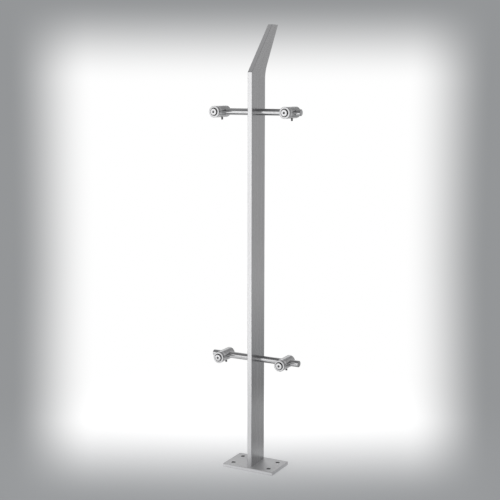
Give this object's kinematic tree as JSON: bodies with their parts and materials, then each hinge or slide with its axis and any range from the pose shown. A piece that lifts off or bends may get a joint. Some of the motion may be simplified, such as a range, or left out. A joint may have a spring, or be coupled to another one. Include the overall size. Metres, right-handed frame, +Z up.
{
  "type": "railing post",
  "caption": "Steel railing post for glass panels: flat blade with a leaning tapered top, drilled base plate, cross rods and sliding glass clamps.",
  "frame": {"origin": "middle of the base plate's underside", "axes": "+X along the rods, -Y towards the glass side, +Z up the post"},
  "size_m": [0.24, 0.147, 1.1],
  "materials": {
    "satin_steel": "satin",
    "polished_steel": "polished",
    "disc_steel": "fine turned",
    "screw_steel": "bright",
    "dark_steel": "dark",
    "rubber": "matte"
  },
  "bodies": {
    "post": {"base_plate": "satin_steel", "post_blade": "satin_steel", "upper_rod": "polished_steel", "lower_rod": "polished_steel"},
    "upper_left_clamp": {"upper_left_barrel": "polished_steel", "upper_left_rear_disc": "disc_steel", "upper_left_rear_gasket": "rubber"},
    "upper_left_front": {"upper_left_front_gasket": "rubber", "upper_left_cap": "disc_steel", "upper_left_cap_screw": "screw_steel"},
    "upper_left_lock": {"upper_left_set_screw": "dark_steel"},
    "upper_right_clamp": {"upper_right_barrel": "polished_steel", "upper_right_rear_disc": "disc_steel", "upper_right_rear_gasket": "rubber"},
    "upper_right_front": {"upper_right_front_gasket": "rubber", "upper_right_cap": "disc_steel", "upper_right_cap_screw": "screw_steel"},
    "upper_right_lock": {"upper_right_set_screw": "dark_steel"},
    "lower_left_clamp": {"lower_left_barrel": "polished_steel", "lower_left_rear_disc": "disc_steel", "lower_left_rear_gasket": "rubber"},
    "lower_left_front": {"lower_left_front_gasket": "rubber", "lower_left_cap": "disc_steel", "lower_left_cap_screw": "screw_steel"},
    "lower_left_lock": {"lower_left_set_screw": "dark_steel"},
    "lower_right_clamp": {"lower_right_barrel": "polished_steel", "lower_right_rear_disc": "disc_steel", "lower_right_rear_gasket": "rubber"},
    "lower_right_front": {"lower_right_front_gasket": "rubber", "lower_right_cap": "disc_steel", "lower_right_cap_screw": "screw_steel"},
    "lower_right_lock": {"lower_right_set_screw": "dark_steel"}
  },
  "joints": [
    {"name": "upper_left_slide", "type": "slide", "parent": "post", "child": "upper_left_clamp", "axis": [1, 0, 0], "range_m": [-0.011, 0.074]},
    {"name": "upper_left_cap_out", "type": "slide", "parent": "upper_left_clamp", "child": "upper_left_front", "axis": [0, -1, 0], "range_m": [0, 0.01]},
    {"name": "upper_left_set_screw_out", "type": "slide", "parent": "upper_left_clamp", "child": "upper_left_lock", "axis": [0, 0, -1], "range_m": [0, 0.003]},
    {"name": "upper_right_slide", "type": "slide", "parent": "post", "child": "upper_right_clamp", "axis": [1, 0, 0], "range_m": [-0.074, 0.011]},
    {"name": "upper_right_cap_out", "type": "slide", "parent": "upper_right_clamp", "child": "upper_right_front", "axis": [0, -1, 0], "range_m": [0, 0.01]},
    {"name": "upper_right_set_screw_out", "type": "slide", "parent": "upper_right_clamp", "child": "upper_right_lock", "axis": [0, 0, -1], "range_m": [0, 0.003]},
    {"name": "lower_left_slide", "type": "slide", "parent": "post", "child": "lower_left_clamp", "axis": [1, 0, 0], "range_m": [-0.021, 0.064]},
    {"name": "lower_left_cap_out", "type": "slide", "parent": "lower_left_clamp", "child": "lower_left_front", "axis": [0, -1, 0], "range_m": [0, 0.01]},
    {"name": "lower_left_set_screw_out", "type": "slide", "parent": "lower_left_clamp", "child": "lower_left_lock", "axis": [0, 0, -1], "range_m": [0, 0.003]},
    {"name": "lower_right_slide", "type": "slide", "parent": "post", "child": "lower_right_clamp", "axis": [1, 0, 0], "range_m": [-0.064, 0.021]},
    {"name": "lower_right_cap_out", "type": "slide", "parent": "lower_right_clamp", "child": "lower_right_front", "axis": [0, -1, 0], "range_m": [0, 0.01]},
    {"name": "lower_right_set_screw_out", "type": "slide", "parent": "lower_right_clamp", "child": "lower_right_lock", "axis": [0, 0, -1], "range_m": [0, 0.003]}
  ]
}
